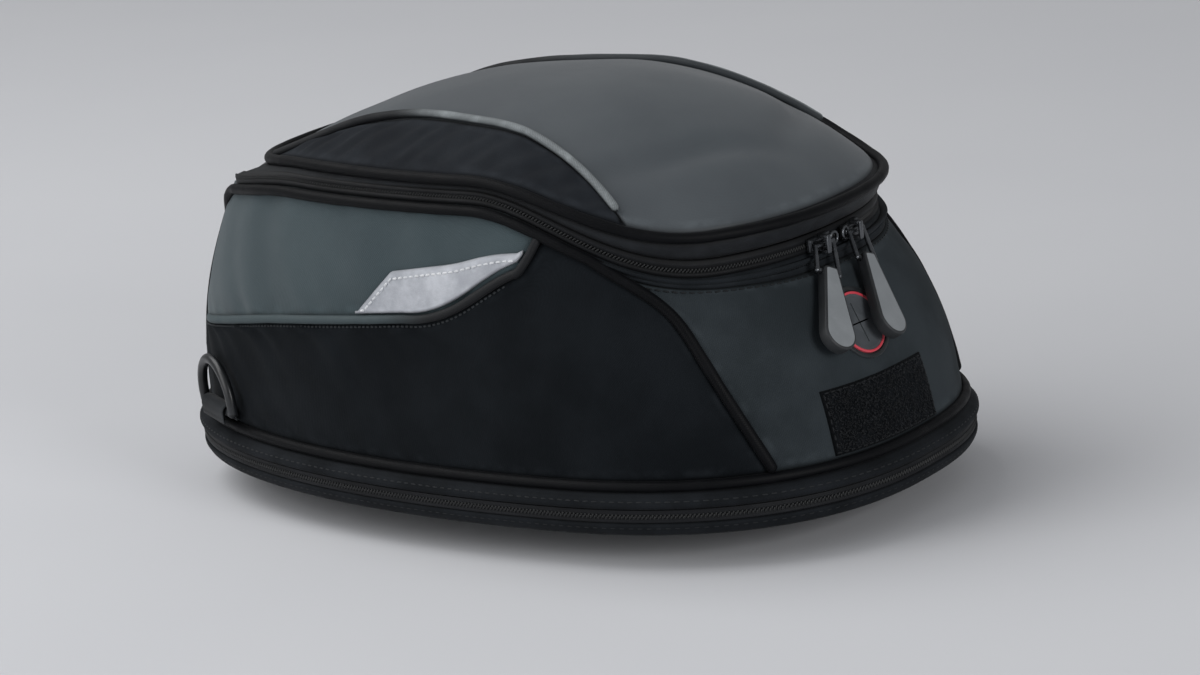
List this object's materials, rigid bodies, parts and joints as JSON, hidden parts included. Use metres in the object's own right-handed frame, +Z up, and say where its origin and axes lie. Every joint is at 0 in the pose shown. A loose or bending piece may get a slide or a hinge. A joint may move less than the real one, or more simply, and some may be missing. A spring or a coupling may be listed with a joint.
{
  "type": "motorcycle tank bag",
  "caption": "Egg-shaped expanding tank bag with a ring mount under its stiff base, a zipped domed lid hinged at the front, grip pulls, a cable port and D-rings.",
  "frame": {"origin": "on the ground plane under the middle of the bag, at the centre of the ring socket", "axes": "+X to the rider (the blunt rear with the zip pulls), -Y to the rider's left, +Z up"},
  "size_m": [0.314, 0.192, 0.157],
  "materials": {
    "board": "matt moulded board",
    "rim_cloth": "dense woven cloth",
    "zip_tape": "coated zip tape",
    "ring_plastic": "fine grain",
    "steel": "zinc plated",
    "plate": "plain sheet",
    "latch": "moulded",
    "webbing": "woven webbing",
    "shell_cloth": "textured coated cloth",
    "yoke_cloth": "grey-green plain cloth",
    "rear_cloth": "fine plain cloth",
    "lid_cloth": "grey moulded cloth",
    "dark_piping": "bound cord",
    "light_piping": "bound cord",
    "reflective": "silver reflective film",
    "port_rubber": "moulded",
    "port_red": "moulded",
    "hook": "hook tape",
    "foam": "closed foam with knitted face",
    "slider_metal": "dark lacquer",
    "d_ring": "moulded",
    "grip": "soft moulded"
  },
  "bodies": {
    "base": {"base_board": "board", "base_rim": "rim_cloth", "grow_zip_lower": "zip_tape", "ring_adapter": "ring_plastic", "ring_screws": "steel", "backing_plate": "plate", "ring_nuts": "steel", "grow_gusset": "rim_cloth"},
    "latch": {"latch_slide": "latch", "latch_pull_tab": "webbing"},
    "grow_runner": {"grow_slider": "slider_metal"},
    "grow_tag": {"grow_pull": "slider_metal"},
    "shell": {"grow_zip_upper": "zip_tape", "upper_band": "rim_cloth", "band_piping": "dark_piping", "front_panel": "shell_cloth", "side_panel_left": "shell_cloth", "side_panel_right": "shell_cloth", "side_yoke_left": "yoke_cloth", "side_yoke_right": "yoke_cloth", "pocket_piping_left": "light_piping", "pocket_piping_right": "light_piping", "reflective_patch_left": "reflective", "reflective_patch_right": "reflective", "seam_piping_left": "dark_piping", "seam_piping_right": "dark_piping", "rear_panel": "rear_cloth", "zip_facing": "rear_cloth", "zip_tape_lower": "zip_tape", "port_flange": "port_rubber", "port_ring": "port_red", "port_membrane": "port_rubber", "hook_patch": "hook", "ring_tab_left": "webbing", "ring_tab_right": "webbing"},
    "ring_left": {"d_ring_left": "d_ring"},
    "ring_right": {"d_ring_right": "d_ring"},
    "lid": {"lid_panel": "lid_cloth", "lid_inset_left": "shell_cloth", "lid_inset_right": "shell_cloth", "inset_piping_left": "light_piping", "inset_piping_right": "light_piping", "lid_edge_piping": "dark_piping", "lid_gusset": "rear_cloth", "lid_foam": "foam", "lid_hinge_strip": "rear_cloth", "zip_tape_upper": "zip_tape"},
    "runner_left": {"zip_slider_left": "slider_metal"},
    "runner_right": {"zip_slider_right": "slider_metal"},
    "bail_left": {"pull_bail_left": "steel"},
    "bail_right": {"pull_bail_right": "steel"},
    "grip_left": {"pull_grip_left": "grip"},
    "grip_right": {"pull_grip_right": "grip"}
  },
  "joints": [
    {"name": "latch_release", "type": "slide", "parent": "base", "child": "latch", "axis": [1, 0, 0], "range_m": [0, 0.0035], "stiffness_N_per_m": 400, "springref_m": -0.004},
    {"name": "grow_zip_run", "type": "hinge", "parent": "base", "child": "grow_runner", "pos_m": [0.03, -0.2253, 0.0201], "axis": [0, 0, -1], "range_deg": [0, 8.5]},
    {"name": "grow_tag_swing", "type": "hinge", "parent": "grow_runner", "child": "grow_tag", "pos_m": [-0.06975, 0.08178, 0.0201], "axis": [0.9511, 0.3089, 0], "range_deg": [0, 95]},
    {"name": "expansion_lift", "type": "slide", "parent": "base", "child": "shell", "axis": [0, 0, 1], "range_m": [0, 0.045], "deforming": ["grow_gusset"]},
    {"name": "lid_open", "type": "hinge", "parent": "shell", "child": "lid", "pos_m": [-0.125, 0, 0.1182], "axis": [0, -1, 0], "range_deg": [0, 100]},
    {"name": "ring_left_fold", "type": "hinge", "parent": "shell", "child": "ring_left", "pos_m": [-0.11735, -0.05605, 0.03706], "axis": [0.8393, -0.5436, 0], "range_deg": [0, 95]},
    {"name": "ring_right_fold", "type": "hinge", "parent": "shell", "child": "ring_right", "pos_m": [-0.11735, 0.05605, 0.03706], "axis": [-0.8393, -0.5436, 0], "range_deg": [0, 95]},
    {"name": "runner_left_zip", "type": "hinge", "parent": "shell", "child": "runner_left", "pos_m": [0.013, 0, 0.101], "axis": [0, 0, -1], "range_deg": [0, 15]},
    {"name": "runner_right_zip", "type": "hinge", "parent": "shell", "child": "runner_right", "pos_m": [0.013, 0, 0.101], "axis": [0, 0, 1], "range_deg": [0, 20]},
    {"name": "bail_left_swing", "type": "hinge", "parent": "runner_left", "child": "bail_left", "pos_m": [0.12835, -0.01559, 0.101], "axis": [-0.1339, -0.991, 0], "range_deg": [0, 85]},
    {"name": "bail_right_swing", "type": "hinge", "parent": "runner_right", "child": "bail_right", "pos_m": [0.12928, 0.0052, 0.101], "axis": [0.0446, -0.999, 0], "range_deg": [0, 85]},
    {"name": "grip_left_swing", "type": "hinge", "parent": "bail_left", "child": "grip_left", "pos_m": [0.13316, -0.02229, 0.09228], "axis": [-0.3859, -0.8218, 0.4193], "range_deg": [0, 50]},
    {"name": "grip_right_swing", "type": "hinge", "parent": "bail_right", "child": "grip_right", "pos_m": [0.13547, 0.00059, 0.09181], "axis": [-0.1805, -0.9225, 0.3411], "range_deg": [0, 50]}
  ]
}
